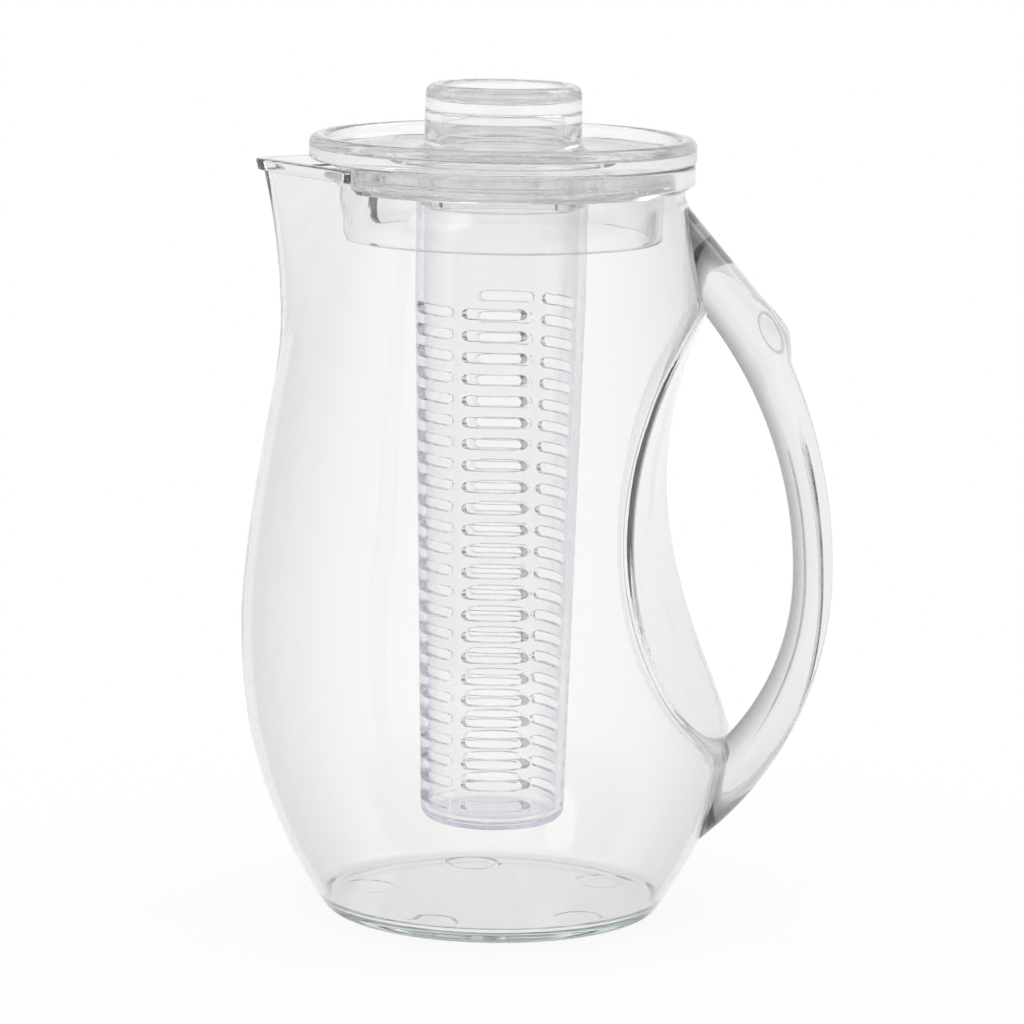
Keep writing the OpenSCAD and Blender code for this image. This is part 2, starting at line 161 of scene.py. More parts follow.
TUBE_TOP_R = 26.5
TUBE_LOW_R = 22.6
TUBE_WALL = 2.6
TUBE_Z = 28.3
TAPER_Z = 195.0
TUBE_ROUND = 4.0
SLOT_ROWS = 24
SLOT_PITCH = 6.69
SLOT_W = 16.2
SLOT_GAP = 4.0
SLOT_H = 3.0
SLOT_Z = 36.2
SLOT_TURN = 67.0
LUGS = 3
TWIST = 22.0
LUG_ANGLE = 9.0
LUG_H = 3.2
LUG_OUT = 1.5
LUG_DEPTH = 10.5
LUG_START = 225.0

DISC_Z = BODY_H + GAP
DISC_TOP = DISC_Z + DISC_T
RIM_TOP = BODY_H + RIM_H
PLUG_Z = BODY_H - PLUG_H
GROOVE_TOP = DISC_Z - 2 * GAP
GROOVE_LOW = GROOVE_TOP - SEAL_H - 2 * GAP
GROOVE_R = PLUG_R - GROOVE_D
POUR_TURN = math.degrees(math.asin(POUR_HALF_W / PLUG_R))
JOINT_Z = BODY_H + JOINT_H
KNOB_TOP = BODY_H + KNOB_H
TUBE_IN_R = TUBE_TOP_R - TUBE_WALL
TUBE_TOP = DISC_Z - GAP
BOSS_R = TUBE_IN_R - GAP
LUG_Z = BODY_H - LUG_DEPTH
EVEN_TURNS = np.arange(200) * 1.8


def add_object(name, data):
    thing = bpy.data.objects.new(name, data)
    bpy.context.scene.collection.objects.link(thing)
    return thing


class Skin:
    """Points and faces of one piece, in millimetres."""

    def __init__(self):
        self.points = []
        self.faces = []

    def ring(self, points):
        start = len(self.points)
        self.points.extend([tuple(float(v) for v in p) for p in points])
        return list(range(start, start + len(points)))

    def band(self, low, high):
        """Quads between two closed rings with the same number of points."""
        n = len(low)
        for i in range(n):
            j = (i + 1) % n
            self.faces.append((low[i], low[j], high[j], high[i]))

    def bands(self, rings):
        for low, high in zip(rings, rings[1:]):
            self.band(low, high)

    def stitch(self, low, high):
        """Triangles between two closed rings about the Z axis with different numbers of points."""
        angle = lambda i: math.atan2(self.points[i][1], self.points[i][0]) % (2 * math.pi)
        low = sorted(low, key=angle)
        high = sorted(high, key=angle)
        a = [angle(i) for i in low] + [angle(low[0]) + 2 * math.pi]
        b = [angle(i) for i in high] + [angle(high[0]) + 2 * math.pi]
        i = j = 0
        while i < len(low) or j < len(high):
            step_low = j == len(high) or (i < len(low) and a[i + 1] < b[j + 1])
            if step_low:
                self.faces.append((low[i], low[(i + 1) % len(low)], high[j % len(high)]))
                i += 1
            else:
                self.faces.append((low[i % len(low)], high[(j + 1) % len(high)], high[j]))
                j += 1

    def fan(self, ring, centre, up):
        """Closes a ring with triangles that meet at a point."""
        c = self.ring([centre])[0]
        n = len(ring)
        for i in range(n):
            j = (i + 1) % n
            self.faces.append((ring[i], ring[j], c) if up else (ring[j], ring[i], c))

    def build(self, name, body, stands_for, sharp=40):
        mesh = bpy.data.meshes.new(name)
        mesh.from_pydata([(x * MM, y * MM, z * MM) for x, y, z in self.points], [], self.faces)
        mesh.validate()
        mesh.shade_smooth()
        mesh.set_sharp_from_angle(angle=math.radians(sharp))
        piece = add_object(name, mesh)
        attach(piece, body)
        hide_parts(stands_for)
        return piece


def smooth(a, b, x):
    """0 below a, 1 above b, with a soft step between."""
    t = np.clip((x - a) / (b - a), 0, 1)
    return t * t * (3 - 2 * t)


def polar(r, angles, z):
    """Points at radius r and height z, at angles in degrees."""
    t = np.radians(angles)
    r = np.broadcast_to(r, t.shape)
    z = np.broadcast_to(z, t.shape)
    return np.stack([r * np.cos(t), r * np.sin(t), z], -1)


def rounded(outline, steps=5):
    """Outline through points (r, z, rounding), with arcs in place of its corners."""
    out = []
    n = len(outline)
    for i, (x, y, radius) in enumerate(outline):
        p = np.array((x, y), float)
        if radius <= 0:
            out.append(p)
            continue
        u = np.array(outline[i - 1][:2], float) - p
        v = np.array(outline[(i + 1) % n][:2], float) - p
        lu, lv = np.linalg.norm(u), np.linalg.norm(v)
        u, v = u / lu, v / lv
        half = math.acos(float(np.clip(u @ v, -1, 1))) / 2
        cut = min(radius / math.tan(half), 0.48 * lu, 0.48 * lv)
        radius = cut * math.tan(half)
        c = p + (u + v) / np.linalg.norm(u + v) * radius / math.sin(half)
        s, e = p + u * cut - c, p + v * cut - c
        a0, a1 = math.atan2(s[1], s[0]), math.atan2(e[1], e[0])
        turn = (a1 - a0 + math.pi) % (2 * math.pi) - math.pi
        for k in range(steps + 1):
            a = a0 + turn * k / steps
            out.append(c + radius * np.array((math.cos(a), math.sin(a))))
    return out


def lathe(skin, outline, angles, place=None):
    """Turns an outline of (r, z) points round the Z axis. It runs so that the solid is on its left."""
    place = place or (lambda r, t, z: polar(r, t, z))
    rings = []
    for r, z in outline:
        if r < 1e-6:
            rings.append(("point", z))
        else:
            rings.append(("ring", skin.ring(place(r, angles, z))))
    for a, b in zip(rings, rings[1:]):
        if a[0] == "ring" and b[0] == "ring":
            skin.band(a[1], b[1])
        elif a[0] == "point" and b[0] == "ring":
            skin.fan(b[1], (0, 0, a[1]), up=False)
        elif a[0] == "ring" and b[0] == "point":
            skin.fan(a[1], (0, 0, b[1]), up=True)


# Pitcher

def body_r(z):
    z = np.asarray(z, float)
    swell = NECK_SWELL * smooth(SWELL_LOW_Z, SWELL_Z, z) * (1 - smooth(SWELL_Z, NECK_Z, z))
    foot = BASE_R + (BELLY_R - BASE_R) * (1 - (1 - np.clip(z, 0, BELLY_Z) / BELLY_Z) ** FOOT_CURVE)
    up = np.clip((z - BELLY_Z) / (NECK_Z - BELLY_Z), 0, 1)
    return np.where(z < BELLY_Z, foot, BELLY_R - (BELLY_R - NECK_R) * up ** SHOULDER_CURVE) + swell


def scoop_face(z, inset):
    """Distance of the hollow's surface from the axis plane at height z."""
    r = SCOOP_R + inset
    return SCOOP_X + SCOOP_R - np.sqrt(np.clip(r * r - (np.asarray(z, float) - SCOOP_Z) ** 2, 0, None))


def scoop_ends(inset):
    """Heights at which the hollow's edge starts and ends on the wall set in by a distance."""
    deep = lambda z: float(body_r(z) - inset - scoop_face(z, inset))
    ends = []
    for far in (20.0, 222.0):
        a, b = SCOOP_Z, far
        for _ in range(60):
            m = (a + b) / 2
            a, b = (m, b) if deep(m) > 0 else (a, m)
        ends.append(a)
    return ends


SPOUT_TOP = BODY_H - SPOUT_DROP


def spout_r(around, z, inset):
    """Distance of the wall from the axis, at angles in degrees from the spout's middle."""
    z = np.asarray(z, float)
    share = np.clip((z - SPOUT_Z) / (SPOUT_TOP - SPOUT_Z), 0, 1.2)
    neck = body_r(z)
    start = float(body_r(SPOUT_Z)) - SPOUT_SUNK
    ahead = start + (SPOUT_REACH - start) * share ** SPOUT_CURVE - neck
    # The front grows out of the shoulder with a soft bend
    grown = (ahead + np.sqrt(ahead ** 2 + SPOUT_BEND ** 2)) / 2
    front = neck + grown * smooth(SPOUT_FADE_Z, SPOUT_FULL_Z, z)
    wide = neck * NOSE_START
    nose = SPOUT_NOSE + (wide - SPOUT_NOSE) * np.clip(1 - share, 0, 1) ** NOSE_CURVE
    centre = front - nose
    half = np.arccos(np.clip((neck - nose) / centre, -1, 1))
    nose, neck = nose - inset, neck - inset
    a = np.radians(np.abs(around))
    turn = np.arctan2(nose * np.sin(half), centre + nose * np.cos(half))
    on_nose = centre * np.cos(a) + np.sqrt(np.clip(nose ** 2 - (centre * np.sin(a)) ** 2, 0, None))
    on_flank = neck / np.cos(np.clip(half - a, 0, None))
    return np.where(a < turn, on_nose, on_flank)


def from_spout(angles):
    return np.abs(np.asarray(angles) % 360 - 180)


def mouth_top(angles):
    """Height of the rim: it steps down along the spout."""
    return BODY_H - SPOUT_DROP * (1 - smooth(COLLAR_GAP - 3, COLLAR_GAP - 1.5, from_spout(angles)))


SPREAD = 1.4
SCOOP_TURN = 50.0
GRID_Z0, GRID_Z1 = 22.0, 219.0


def hollow_warp(s, t, inset):
    """Angle and height of a point of the grid round the hollow. Its squares become rings along the edge."""
    z0, z1 = scoop_ends(inset)
    zc, hz = (z0 + z1) / 2, (z1 - z0) / 2
    mid = (GRID_Z0 + GRID_Z1) / 2
    high = (GRID_Z1 - GRID_Z0) / 2
    s, t = np.broadcast_arrays(np.asarray(s, float), np.asarray(t, float))
    m = np.maximum(np.maximum(np.abs(s), np.abs(t)), 1e-9)
    shrink = np.where(m > 1, m, 1.0)
    a, b = s / shrink, t / shrink
    dx = a * np.sqrt(1 - b * b / 2)
    dy = b * np.sqrt(1 - a * a / 2)
    rho = np.maximum(np.hypot(dx, dy), 1e-9)
    cx, cy = dx / rho, dy / rho
    z_edge = zc + hz * cy
    turn_edge = np.degrees(np.arccos(np.clip(scoop_face(z_edge, inset) / (body_r(z_edge) - inset), -1, 1)))
    turn_edge = np.sign(cx) * turn_edge
    inside_turn = rho * turn_edge
    inside_z = zc + rho * (z_edge - zc)
    w = np.clip((m - 1) / (SPREAD - 1), 0, 1)
    far_turn = s / m * SPREAD * SCOOP_TURN
    far_z = mid + t / m * high
    turn = np.where(m > 1, (1 - w) * turn_edge + w * far_turn, inside_turn)
    z = np.where(m > 1, (1 - w) * z_edge + w * far_z, inside_z)
    return turn, z


def tight(n_in, n_out):
    """Grid lines from -SPREAD to SPREAD, packed close on both sides of the hollow's edge."""
    inner = np.linspace(0, 0.86, n_in)
    outer = 1.12 + (SPREAD - 1.12) * np.linspace(0, 1, n_out) ** 1.2
    side = np.concatenate([inner, [0.9, 0.93, 0.955, 0.98, 1.0, 1.02, 1.045, 1.075], outer])
    return np.concatenate([-side[:0:-1], side])


def wall_surface(angles, z, inset):
    """Distance of the wall from the axis, with the spout and the hollow."""
    turn = from_spout(angles)
    r = np.where(turn < SPOUT_SPREAD, spout_r(turn, z, inset), body_r(z) - inset)
    c = np.cos(np.radians(angles))
    z0, z1 = scoop_ends(inset)
    face = scoop_face(z, inset) / np.maximum(c, SCOOP_MIN_COS)
    near = (c > SCOOP_MIN_COS) & (z > z0 - SCOOP_MARGIN) & (z < z1 + SCOOP_MARGIN)
    mix = np.clip(0.5 + (face - r) / (2 * SCOOP_ROUND), 0, 1)
    soft = face + (r - face) * mix - SCOOP_ROUND * mix * (1 - mix)
    return np.where(near, soft, r)


def make_body():
    skin = Skin()
    cols = tight(13, 8)
    near = cols * SCOOP_TURN
    # The other columns stand close at the collar's ends and at the spout's nose
    rest, at = [], near[-1]
    for stop, n in ((130, 28), (135.5, 14), (168, 20), (192, 33), (224.5, 20), (230, 14)):
        rest.append(np.linspace(at, stop, n)[1:])
        at = stop
    rest = np.concatenate(rest + [np.linspace(at, 360 + near[0], 28)[1:-1]])
    angles = np.concatenate([near, rest])
    rows_t = tight(22, 11)
    foot_lean = math.atan((BELLY_R - BASE_R) * FOOT_CURVE / BELLY_Z)
    corner = math.tan((math.pi / 2 - foot_lean) / 2)

    def wall_rows(inset, start):
        """Rings from the foot to the neck, those in the middle warped to the hollow's edge."""
        rings = []
        for z in np.linspace(start, GRID_Z0, 9)[:-1]:
            rings.append(skin.ring(polar(wall_surface(angles, np.full(len(angles), z), inset), angles, z)))
        for t in rows_t:
            turn, z = hollow_warp(cols, t, inset)
            plain_z = (GRID_Z0 + GRID_Z1) / 2 + t / SPREAD * (GRID_Z1 - GRID_Z0) / 2
            all_turn = np.concatenate([turn, rest])
            all_z = np.concatenate([z, np.full(len(rest), plain_z)])
            r = wall_surface(all_turn, all_z, inset)
            rings.append(skin.ring(polar(r, all_turn, all_z)))
        for z in np.linspace(GRID_Z1, NECK_Z, 4)[1:]:
            rings.append(skin.ring(polar(wall_surface(angles, np.full(len(angles), z), inset), angles, z)))
        return rings

    def outer_top(depth):
        z = mouth_top(angles) - depth
        turn = from_spout(angles)
        below = smooth(LIP_H - 0.2, LIP_H + 0.3, depth)
        lip = LIP_OUT * (1 - below) * (1 - smooth(LIP_TURN - 4, LIP_TURN, turn))
        r = np.where(turn < SPOUT_SPREAD, spout_r(turn, z, -lip), body_r(z))
        bevel = np.clip((COLLAR_H - depth) / COLLAR_BEVEL, 0, 1)
        collar = (COLLAR_R - NECK_R) * bevel * smooth(COLLAR_GAP - 0.8, COLLAR_GAP + 0.2, turn)
        return r + collar, z

    # Underside, with round marks pressed into it
    low_angles = np.arange(360.0)
    low_edge = BASE_R - BASE_ROUND * corner

    def mark_depth(r, angles):
        """Round marks with a deeper edge; the one at the back is crisp, the others are worn shallow."""
        x, y = r * np.cos(np.radians(angles)), r * np.sin(np.radians(angles))
        depth = np.zeros(len(angles))
        for k in range(MARKS):
            a = math.radians(MARK_START + 360 * k / MARKS)
            d = np.hypot(x - MARK_CIRCLE * math.cos(a), y - MARK_CIRCLE * math.sin(a))
            full = MARK_D if k == CRISP_MARK else MARK_D * WORN_SHARE
            depth = np.maximum(depth, full * (1 - smooth(MARK_R - 0.5, MARK_R + 0.2, d))
                               * (1 - 0.6 * (1 - smooth(MARK_R - 2.2, MARK_R - 1.0, d))))
        return depth

    low_rings = []
    for r in np.concatenate([np.linspace(6, 30, 7)[:-1], np.arange(30, low_edge - 0.4, 0.55)]):
        low_rings.append(skin.ring(polar(r, low_angles, mark_depth(r, low_angles))))
    skin.fan(low_rings[0], (0, 0, 0), up=False)
    skin.bands(low_rings)

    # Foot rounding, outer wall, collar, rim
    outer = []
    for k in range(7):
        a = math.radians(-90) + (math.radians(90) - foot_lean) * k / 6
        outer.append(skin.ring(polar(low_edge + BASE_ROUND * math.cos(a), angles,
                                     BASE_ROUND + BASE_ROUND * math.sin(a))))
    skin.stitch(low_rings[-1], outer[0])
    start = BASE_ROUND * corner * math.cos(foot_lean)
    outer += wall_rows(0.0, start + 0.8)
    depths = [8.4, 8.0, 7.4, 6.7, 6.05, 5.8, 4.8, 4.2, 3.85, 3.7, 3.5, 3.3, 2.6, 1.6]
    rim_depths = [0.0] + [RIM_ROUND * share for share in (0.12, 0.38, 0.7, 1.0)]

    def pull(d):
        """How far the rim's rounding draws a wall in, at a depth below the rim."""
        return RIM_ROUND - math.sqrt(max(RIM_ROUND ** 2 - (RIM_ROUND - d) ** 2, 0)) if d < RIM_ROUND else 0

    for d in depths + rim_depths[::-1]:
        r, z = outer_top(d)
        outer.append(skin.ring(polar(r - pull(d), angles, z)))

    # Rim, inner wall and floor
    turn = from_spout(angles)
    inner_r = lambda z: np.where(turn < SPOUT_SPREAD, spout_r(turn, z, WALL), body_r(z) - WALL)
    top = mouth_top(angles)
    for d in rim_depths:
        outer.append(skin.ring(polar(inner_r(top - d) + pull(d), angles, top - d)))
    for d in (2.0, 4.0, 6.0, 8.0):
        outer.append(skin.ring(polar(inner_r(top - d), angles, top - d)))
    floor_round = BASE_ROUND + WALL
    inner_start = FLOOR_T + floor_round * corner * math.cos(foot_lean)
    inner = wall_rows(WALL, inner_start + 0.8)
    outer += inner[::-1]
    inner_edge = float(body_r(FLOOR_T)) - WALL - floor_round * corner
    for k in range(8, -1, -1):
        a = math.radians(-90) + (math.radians(90) - foot_lean) * k / 8
        outer.append(skin.ring(polar(inner_edge + floor_round * math.cos(a), angles,
                                     FLOOR_T + floor_round + floor_round * math.sin(a))))
    skin.bands(outer)
    last = outer[-1]
    for r in (36, 20, 8):
        ring = skin.ring(polar(r, angles, FLOOR_T))
        skin.band(last, ring)
        last = ring
    skin.fan(last, (0, 0, FLOOR_T), up=True)
    return skin.build("pitcher_shell", "pitcher", "pitcher_body")


# Handle

def on_circle(c, r, a):
    return np.array((c[0] + r * math.cos(math.radians(a)), c[1] + r * math.sin(math.radians(a))))


def bow(a, b, c, t):
    return (1 - t) ** 2 * a + 2 * t * (1 - t) * b + t * t * c


THUMB_ANGLE = math.degrees(math.asin((THUMB_Z - HANDLE_Z) / OUTER_TOP_R))
OUTER_TOP_C = (HANDLE_REACH - OUTER_TOP_R, HANDLE_Z)
OUTER_LOW_C = (HANDLE_REACH - OUTER_LOW_R, HANDLE_Z)
INNER_TOP_C = (HANDLE_REACH - GRIP_T - INNER_TOP_R, HANDLE_Z)
INNER_LOW_C = (HANDLE_REACH - GRIP_T - INNER_LOW_R, HANDLE_Z)
THUMB_LOW = on_circle(OUTER_TOP_C, OUTER_TOP_R, THUMB_ANGLE)
ROOT_START = np.array((ROOT_X, ROOT_Z))
THUMB_TOP = np.array((THUMB_TOP_X, THUMB_TOP_Z))
THUMB_BULGE = np.array((THUMB_LOW[0] + GRIP_T * 0.025, THUMB_Z + (THUMB_TOP[1] - THUMB_Z) * 0.73))
THUMB_DIP = (THUMB_TOP + ROOT_START) / 2 - np.array((GRIP_T * 0.1, 0))
ROOT_TIP = np.array((ROOT_TIP_X, ROOT_Z + (ROOT_X - ROOT_TIP_X) * ROOT_RISE))


def outer_edge(s):
    if s < 0:
        return on_circle(OUTER_LOW_C, OUTER_LOW_R, -LOW_OUTER_END * s)
    if s < GRIP_SHARE:
        return on_circle(OUTER_TOP_C, OUTER_TOP_R, THUMB_ANGLE * s / GRIP_SHARE)
    if s < THUMB_TOP_SHARE:
        return bow(THUMB_LOW, THUMB_BULGE, THUMB_TOP, (s - GRIP_SHARE) / (THUMB_TOP_SHARE - GRIP_SHARE))
    if s < THUMB_SHARE:
        return bow(THUMB_TOP, THUMB_DIP, ROOT_START, (s - THUMB_TOP_SHARE) / (THUMB_SHARE - THUMB_TOP_SHARE))
    return ROOT_START + (ROOT_TIP - ROOT_START) * (s - THUMB_SHARE) / (1 - THUMB_SHARE)


def inner_edge(s):
    if s < 0:
        return on_circle(INNER_LOW_C, INNER_LOW_R, -LOW_INNER_END * s)
    return on_circle(INNER_TOP_C, INNER_TOP_R, TOP_INNER_END * s)


def handle_ring(s, n, roundness=2.2):
    a = np.radians(np.arange(n) * 360 / n)
    q0 = np.sign(np.cos(a)) * np.abs(np.cos(a)) ** (2 / roundness)
    q1 = np.sign(np.sin(a)) * np.abs(np.sin(a)) ** (2 / roundness)
    outer, inner = outer_edge(s), inner_edge(s)
    middle, half = (outer + inner) / 2, (outer - inner) / 2
    width = GRIP_W + (ROOT_W - GRIP_W) * abs(s) ** 3
    return np.stack([middle[0] + half[0] * q0, width / 2 * q1, middle[1] + half[1] * q0], -1)


def body_face(y, z):
    """Distance of the pitcher's outside from the axis plane, on the handle's side."""
    plain = np.sqrt(np.clip(body_r(z) ** 2 - y * y, 0, None))
    z0, z1 = scoop_ends(0.0)
    face = scoop_face(z, 0.0)
    return np.where((z > z0) & (z < z1), np.minimum(plain, face), plain)


def make_handle():
    n, steps, sunk = 72, 150, 0.04
    skin = Skin()
    fine = np.linspace(-1, 1, 1601)
    lines = np.array([handle_ring(s, n) for s in fine])
    outside = lines[..., 0] > body_face(lines[..., 1], lines[..., 2]) - sunk
    mid = len(fine) // 2
    ends = np.zeros((n, 2))
    for i in range(n):
        up = mid + np.argmin(np.append(outside[mid:, i], False))
        down = mid - np.argmin(np.append(outside[mid::-1, i], False))
        ends[i] = fine[max(down + 1, 0)], fine[min(up - 1, len(fine) - 1)]

    pad = outer_edge(PAD_SHARE)
    lean = pad - outer_edge(THUMB_SHARE)
    pad_out = np.array((-lean[1], lean[0])) / np.linalg.norm(lean)
    ball_r = (PAD_R ** 2 + PAD_D ** 2) / (2 * PAD_D)
    ball = np.array((pad[0] + pad_out[0] * (ball_r - PAD_D), 0, pad[1] + pad_out[1] * (ball_r - PAD_D)))

    def press(points):
        """Presses the round thumb pad into the outer side."""
        d = points - ball
        dist = np.linalg.norm(d, axis=-1, keepdims=True)
        return np.where(dist < ball_r, ball + d / np.maximum(dist, 1e-6) * ball_r, points)

    rings = []
    for k in range(steps + 1):
        share = k / steps
        s = ends[:, 0] + (ends[:, 1] - ends[:, 0]) * share
        index = (s + 1) / 2 * (len(fine) - 1)
        low = np.clip(np.floor(index).astype(int), 0, len(fine) - 2)
        f = (index - low)[:, None]
        cols = np.arange(n)
        points = lines[low, cols] * (1 - f) + lines[low + 1, cols] * f
        if k in (0, steps):
            points[:, 0] = body_face(points[:, 1], points[:, 2]) - sunk
        rings.append(skin.ring(press(points)))
    skin.bands(rings)
    for ring, up in ((rings[0], False), (rings[-1], True)):
        edge = np.array([skin.points[i] for i in ring])
        middle = edge.mean(0)
        last = ring
        for share in (0.12, 0.4, 0.7):
            points = edge * (1 - share) + middle * share
            points[:, 0] = body_face(points[:, 1], points[:, 2]) - sunk
            inner = skin.ring(points)
            skin.band(last, inner) if up else skin.band(inner, last)
            last = inner
        middle[0] = body_face(middle[1], middle[2]) - sunk
        skin.fan(last, middle, up)
    return skin.build("loop_handle", "pitcher", "handle")


# Lid

def full_circle(n, extra=()):
    """Angles round a circle, with extra ones put in where an edge runs."""
    even = np.arange(n) * 360 / n
    keep = [a for a in even if all(abs((a - e + 180) % 360 - 180) > 0.3 for e in extra)]
    return np.array(sorted(set(keep) | {float(e) % 360 for e in extra}))


def pour_line(turn):
    """Angle and height of the plug's foot for a column at an angle from the pour opening."""
    top = PLUG_Z + POUR_H
    arc_len = POUR_ROUND * math.pi / 2
    straight = POUR_H - POUR_ROUND
    if turn <= POUR_TURN:
        return turn, top
    if turn < POUR_SPREAD:
        run = (turn - POUR_TURN) / (POUR_SPREAD - POUR_TURN) * (straight + arc_len)
        if run < straight:
            return POUR_TURN, top - run
        a = (run - straight) / POUR_ROUND
        y = POUR_HALF_W + POUR_ROUND * (1 - math.cos(a))
        return math.degrees(math.asin(y / PLUG_R)), PLUG_Z + POUR_ROUND * (1 - math.sin(a))
    foot_turn = math.degrees(math.asin((POUR_HALF_W + POUR_ROUND) / PLUG_R))
    return foot_turn + (turn - POUR_SPREAD) / (180 - POUR_SPREAD) * (180 - foot_turn), PLUG_Z


def make_lid():
    skin = Skin()
    breaks = (POUR_TURN - 0.4, POUR_TURN, POUR_TURN + 0.6, POUR_SPREAD)
    marks = [180 + s * a for s in (-1, 1) for a in breaks]
    lug_edges = []
    for i in range(LUGS):
        mid = LUG_START + 360 * i / LUGS
        lug_edges += [mid + s * (LUG_ANGLE / 2 + e) for s in (-1, 1) for e in (-0.4, 0.4)]
    angles = full_circle(240, marks + lug_edges)
    turned = (angles + 180) % 360
    signed = np.where(turned > 180, turned - 360, turned)
    feet = [pour_line(abs(a)) for a in signed]
    foot_turn = np.array([f[0] for f in feet])
    foot_z = np.array([f[1] for f in feet])
    z_fixed = GROOVE_LOW - 0.3

    def place(r, t, z):
        """Columns of the plug's lower part lean to follow the pour opening's edge."""
        in_plug = PLUG_R - PLUG_WALL - 1e-3 <= r <= PLUG_R + 1e-3 and z < z_fixed
        if in_plug:
            q = (z_fixed - z) / (z_fixed - PLUG_Z)
            lateral = PLUG_R * np.sin(np.radians(foot_turn))
            exact = np.degrees(np.arcsin(np.clip(lateral / r, -1, 1)))
            fade = smooth(60, 100, foot_turn)
            goal = (1 - fade) * np.where(foot_turn < 89, exact, foot_turn) + fade * foot_turn
            angle = np.abs(signed) + (goal - np.abs(signed)) * q
            height = z_fixed + (foot_z - z_fixed) * q
            return polar(r, 180 + np.sign(signed) * angle, height)
        in_lug = abs(r - BOSS_R) < 1e-3 and abs(z - LUG_Z) < LUG_H / 2
        if in_lug:
            out = np.zeros(len(t))
            for i in range(LUGS):
                mid = LUG_START + 360 * i / LUGS
                away = np.abs((t - mid + 180) % 360 - 180)
                out = np.maximum(out, (away < LUG_ANGLE / 2).astype(float))
            return polar(r + LUG_OUT * out, t, z)
        return polar(r, t, z)

    plug_in = PLUG_R - PLUG_WALL
    boss_in = BOSS_R - TUBE_WALL
    boss_z = LUG_Z - LUG_H
    rim_round = RIM_H * RIM_SOFT
    inner_round = (RIM_TOP - DISC_TOP) * RIM_SOFT
    outline = rounded([
        (0, DISC_Z, 0), (boss_in, DISC_Z, 0.8), (boss_in, boss_z, 0.5), (BOSS_R, boss_z, 0.5)])[:-1]
    up = LUG_Z - LUG_H / 2
    for z in (boss_z + 0.5, up - 0.02, up + 0.02, up + LUG_H - 0.02, up + LUG_H + 0.02):
        outline.append(np.array((BOSS_R, z)))
    plug = rounded([
        (BOSS_R, DISC_Z, 0.6), (plug_in, DISC_Z, 0.8), (plug_in, PLUG_Z, 0.9), (PLUG_R, PLUG_Z, 0.9),
        (PLUG_R, GROOVE_LOW, 0.3), (GROOVE_R, GROOVE_LOW, 0.2), (GROOVE_R, GROOVE_TOP, 0.2),
        (PLUG_R, GROOVE_TOP, 0.2), (PLUG_R, DISC_Z, 0.2), (FLANGE_R, DISC_Z, inner_round / 2),
        (FLANGE_R, RIM_TOP, rim_round), (FLANGE_R - RIM_W, RIM_TOP, inner_round),
        (FLANGE_R - RIM_W, DISC_TOP, inner_round), (KNOB_R, DISC_TOP, KNOB_FOOT), (KNOB_R, JOINT_Z, 0.15),
        (KNOB_R - KNOB_WALL, JOINT_Z, 0.15), (KNOB_R - KNOB_WALL, DISC_TOP, 0.8), (0, DISC_TOP, 0)], 6)
    # Rings down the plug's walls, so that its lower part can lean. The groove's wall gets them too, and a
    # point under the groove, which leaves a fold of stray faces there: a known fault.
    full = []
    for p, q in zip(outline + plug, (outline + plug)[1:]):
        full.append(p)
        same = abs(p[0] - q[0]) < 1e-6 and PLUG_R - PLUG_WALL - 1e-3 <= p[0] <= PLUG_R + 1e-3
        if same and abs(p[1] - q[1]) > 5:
            cuts = np.linspace(0, 1, 12)[1:-1]
            full += [p + (q - p) * c for c in cuts]
            full.append(np.array((p[0], z_fixed)))
    full.append(plug[-1])
    path = [full[0]]
    for p in full[1:]:
        if np.linalg.norm(p - path[-1]) > 1e-4:
            path.append(p)
    # The points of the plug's two walls go in the order of their height
    for r, down in ((plug_in, True), (PLUG_R, False)):
        on_wall = [k for k, p in enumerate(path) if abs(p[0] - r) < 1e-6 and PLUG_Z < p[1] < DISC_Z]
        first = on_wall[0]
        last = [k for k in on_wall if k - first == on_wall.index(k)][-1]
        path[first:last + 1] = sorted(path[first:last + 1], key=lambda p: -p[1] if down else p[1])
    lathe(skin, path, angles, place)
    return skin.build("lid_moulding", "lid", "lid", sharp=35)


def make_cap():
    skin = Skin()
    top_r = KNOB_R - GAP
    spigot_r = KNOB_R - KNOB_WALL - SPIGOT_GAP
    inner = spigot_r - SPIGOT_WALL
    dish_z = KNOB_TOP - DISH_D
    roof_z = dish_z - KNOB_WALL
    outline = rounded([
        (0, roof_z, 0), (inner, roof_z, 1.2), (inner, JOINT_Z - SPIGOT_H, 0.3),
        (spigot_r, JOINT_Z - SPIGOT_H, 0.4), (spigot_r, JOINT_Z + 0.05, 0), (KNOB_R, JOINT_Z + 0.05, 0.15),
        (top_r, KNOB_TOP, KNOB_ROUND + 1.0), (DISH_R, KNOB_TOP, 1.6), (DISH_R, dish_z, DISH_D * 0.6),
        (0, dish_z, 0)], 8)
    lathe(skin, outline, EVEN_TURNS)
    return skin.build("knob_dish_cap", "lid", "knob_cap", sharp=35)


def make_seal():
    skin = Skin()
    inner = GROOVE_R + GAP
    outer = NECK_R - WALL - GAP
    strip = inner + SEAL_T
    z0 = GROOVE_TOP - GAP - SEAL_H
    z1 = z0 + SEAL_H
    droop = SEAL_LIP * 0.8
    outline = rounded([
        (inner, z0, 0.3), (strip, z0, 0.3), (outer, z0 + droop, 0.35), (outer, z0 + droop + SEAL_LIP, 0.35),
        (strip, z0 + 2 * SEAL_LIP, 0.3), (strip, z1 - SEAL_LIP, 0.3), (outer, z1 - SEAL_LIP, 0.35),
        (outer, z1, 0.35), (inner, z1, 0.3)], 4)
    rings = [skin.ring(polar(r, EVEN_TURNS, z)) for r, z in outline]
    skin.bands(rings + rings[:1])
    return skin.build("mouth_seal", "seal", "lid_seal")


# Infuser tube

